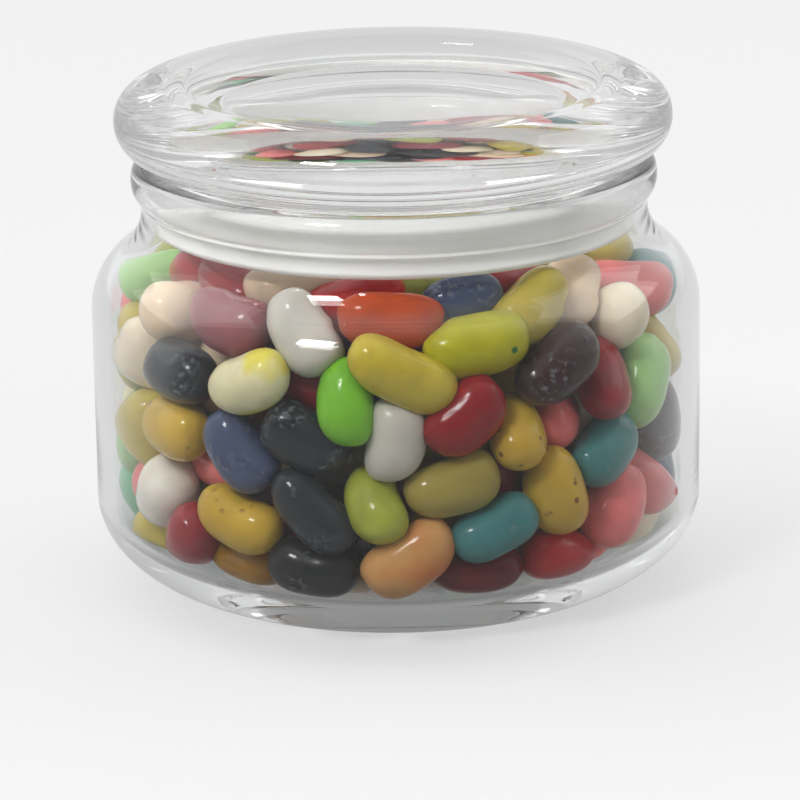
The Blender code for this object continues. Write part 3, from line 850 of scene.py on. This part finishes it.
def add_floor():
    mesh = bpy.data.meshes.new("floor")
    far = 4.0
    mesh.from_pydata([(-far, -far, 0), (far, -far, 0), (far, far, 0), (-far, far, 0)], [], [(0, 1, 2, 3)])
    material, tree, shader = new_material("floor")
    coords = tree.nodes.new("ShaderNodeTexCoord").outputs["Object"]
    tone = ramp(tree, noise(tree, coords, 3.0), [(0.3, (0.38, 0.38, 0.38)), (0.7, (0.39, 0.39, 0.39))])
    tree.links.new(tone, shader.inputs["Base Color"])
    shader.inputs["Emission Color"].default_value = (1.0, 1.0, 1.0, 1.0)
    shader.inputs["Emission Strength"].default_value = 0.535
    shader.inputs["Roughness"].default_value = 0.9
    shader.inputs["Specular IOR Level"].default_value = 0.1
    split = tree.nodes.new("ShaderNodeSeparateXYZ")
    tree.links.new(coords, split.inputs["Vector"])
    depth = tree.nodes.new("ShaderNodeMapRange")
    depth.inputs["From Min"].default_value = -0.055
    depth.inputs["From Max"].default_value = 0.03
    tree.links.new(split.outputs["Y"], depth.inputs["Value"])
    # Painted reflection: in reflections the floor shows dark in front of the jar and lighter behind it.
    painted_reflection_tone = ramp(tree, depth.outputs["Result"], [(0.0, (0.16, 0.16, 0.16)), (1.0, (0.80, 0.80, 0.80))])
    far_off = tree.nodes.new("ShaderNodeVectorMath")
    far_off.operation = "LENGTH"
    tree.links.new(coords, far_off.inputs[0])
    # Painted shadow: seen through the glass, the floor has dark contact-shadow rings under the jar's foot and heel,
    # and front_shade darkens it towards the front as painted shade.
    rings = [(0.026, 0.50), (0.030, 0.26), (0.036, 0.50), (0.045, 0.58), (0.049, 0.30), (0.054, 0.34), (0.062, 0.66)]
    stops = [(place * 10.0, (grey, grey, grey)) for place, grey in rings]
    tenfold = tree.nodes.new("ShaderNodeMath")
    tenfold.operation = "MULTIPLY"
    tenfold.inputs[1].default_value = 10.0
    tree.links.new(far_off.outputs["Value"], tenfold.inputs[0])
    painted_shadow_through_glass = ramp(tree, tenfold.outputs["Value"], stops)
    path = tree.nodes.new("ShaderNodeLightPath")
    lighting = tree.nodes.new("ShaderNodeMath")
    lighting.operation = "GREATER_THAN"
    lighting.inputs[1].default_value = 0.5
    tree.links.new(path.outputs["Diffuse Depth"], lighting.inputs[0])
    glow = tree.nodes.new("ShaderNodeEmission")
    front_shade = ramp(tree, depth.outputs["Result"], [(0.0, (0.40, 0.40, 0.40)), (1.0, (0.0, 0.0, 0.0))])
    painted_shadow_through_glass = mixed(tree, front_shade, painted_shadow_through_glass, (0.10, 0.10, 0.10))
    tone = mixed(tree, path.outputs["Is Transmission Ray"], painted_reflection_tone, painted_shadow_through_glass)
    tone = mixed(tree, lighting.outputs["Value"], tone, (0.26, 0.26, 0.26))
    tree.links.new(tone, glow.inputs["Color"])
    indirect = tree.nodes.new("ShaderNodeMath")
    indirect.operation = "MAXIMUM"
    tree.links.new(path.outputs["Is Glossy Ray"], indirect.inputs[0])
    tree.links.new(lighting.outputs["Value"], indirect.inputs[1])
    blend = tree.nodes.new("ShaderNodeMixShader")
    tree.links.new(indirect.outputs["Value"], blend.inputs["Fac"])
    tree.links.new(shader.outputs["BSDF"], blend.inputs[1])
    tree.links.new(glow.outputs["Emission"], blend.inputs[2])
    tree.links.new(blend.outputs["Shader"], tree.nodes["Material Output"].inputs["Surface"])
    mesh.materials.append(material)
    floor = bpy.data.objects.new("floor", mesh)
    floor.location.z = -0.0002
    bpy.context.scene.collection.objects.link(floor)


def add_world():
    """A white light tent, dim on the viewer's side."""
    world = bpy.data.worlds.new("studio")
    bpy.context.scene.world = world
    world.use_nodes = True
    tree = world.node_tree
    coords = tree.nodes.new("ShaderNodeTexCoord").outputs["Generated"]
    split = tree.nodes.new("ShaderNodeSeparateXYZ")
    tree.links.new(coords, split.inputs["Vector"])
    spread = tree.nodes.new("ShaderNodeMapRange")
    spread.inputs["From Min"].default_value = -1.0
    spread.inputs["From Max"].default_value = 1.0
    tree.links.new(split.outputs["Y"], spread.inputs["Value"])
    dim, half, lit = (0.15, 0.15, 0.16), (0.32, 0.32, 0.32), (0.86, 0.86, 0.87)
    tone = ramp(tree, spread.outputs["Result"], [(0.06, dim), (0.26, half), (0.46, lit), (1.0, lit)])
    side = tree.nodes.new("ShaderNodeMapRange")
    side.inputs["From Min"].default_value = 0.2
    side.inputs["From Max"].default_value = 0.9
    side.inputs["To Max"].default_value = 0.5
    tree.links.new(split.outputs["X"], side.inputs["Value"])
    tone = mixed(tree, side.outputs["Result"], tone, (0.25, 0.25, 0.26))
    tree.links.new(tone, tree.nodes["Background"].inputs["Color"])
    tree.nodes["Background"].inputs["Strength"].default_value = 1.0


def add_softbox(name, place, aim, size, power):
    light = bpy.data.lights.new(name, "AREA")
    light.shape = "RECTANGLE"
    light.size, light.size_y = size
    light.energy = power
    box = bpy.data.objects.new(name, light)
    box.location = place
    box.rotation_euler = (Vector(aim) - Vector(place)).to_track_quat("-Z", "Y").to_euler()
    bpy.context.scene.collection.objects.link(box)


CAMERA_ELEVATION = 16.8
CAMERA_DISTANCE = 0.930
CAMERA_AIM = (0.0005, 0.0, 0.0326)
CAMERA_ROLL = -0.88
CAMERA_LENS = 225.5


def add_camera():
    data = bpy.data.cameras.new("camera")
    data.lens = CAMERA_LENS
    data.sensor_width = 36.0
    camera = bpy.data.objects.new("camera", data)
    tilt = math.radians(CAMERA_ELEVATION)
    away = Vector((0.0, -math.cos(tilt), math.sin(tilt))) * CAMERA_DISTANCE
    aim = Vector(CAMERA_AIM)
    facing = (-away).to_track_quat("-Z", "Y").to_matrix().to_4x4()
    roll = Matrix.Rotation(math.radians(CAMERA_ROLL), 4, "Z")
    camera.matrix_world = Matrix.Translation(aim + away) @ facing @ roll
    bpy.context.scene.collection.objects.link(camera)
    bpy.context.scene.camera = camera


# ---------------------------------------------------------------- putting it together


def keep(piece, slot_name, *nodes):
    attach(piece, "root")
    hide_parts(*nodes)


def main():
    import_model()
    add_camera()
    add_world()
    add_floor()
    add_softbox("key", (-0.54, -0.745, 0.95), (0, 0, 0.05), (0.27, 0.20), 4.4)
    add_softbox("left", (-0.83, 0.38, 0.83), (0, 0, 0.05), (0.80, 0.80), 1.8)
    add_softbox("right", (0.83, 0.38, 0.83), (0, 0, 0.05), (0.80, 0.80), 1.8)
    add_softbox("fill", (0.74, -0.72, 0.36), (0, 0, 0.03), (0.60, 0.60), 2.2)
    bpy.data.objects["fill"].visible_glossy = False
    bpy.data.objects["fill"].visible_transmission = False
    bpy.context.scene.view_settings.view_transform = "Standard"
    bpy.context.scene.cycles.max_bounces = 32
    bpy.context.scene.cycles.transmission_bounces = 32
    bpy.context.scene.cycles.glossy_bounces = 32

    body_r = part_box("jar")[1].x / MM
    rim_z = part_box("jar")[1].z / MM
    lid_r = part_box("lid")[1].x / MM
    lid_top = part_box("lid")[1].z / MM
    inside = jar_inside(body_r, rim_z)
    jar = turned("jar_glass", inside + jar_outside(body_r, rim_z), glass_material("jar_glass", JAR_TINT))
    keep(jar, "jar_glass", "jar")
    outline = lid_outline(lid_r, lid_top, rim_z + LID_GAP)
    lid = turned("lid_glass", outline, glass_material("lid_glass", LID_TINT))
    keep(lid, "lid_glass", "lid")
    seal = turned("seal_ring", seal_outline(), seal_material())
    keep(seal, "seal_plastic", "seal")

    wall = np.array(inside[:-6] + [(BORE_R, 95.0)])
    centres, turns, sizes = pile(wall)
    rng = np.random.default_rng(SEED + 1)
    kinds = [entry[-1] for entry in SHOWN]
    for x, y, _ in centres[len(SHOWN):]:
        beside = abs(x) > SIDE_X and y < SIDE_Y
        kinds.append(str(rng.choice(SIDE_KINDS if beside else list(KINDS))))
    ball, faces = unit_ball()
    for kind in KINDS:
        members = [i for i, own in enumerate(kinds) if own == kind]
        if members:
            piece = joined_beans(kind, members, (centres, turns, sizes), wall, ball, faces, rng)
            keep(piece, "jelly_bean_shells", "jelly_beans")
    keep(core_piece(rng), "jelly_bean_shells", "jelly_beans")


main()
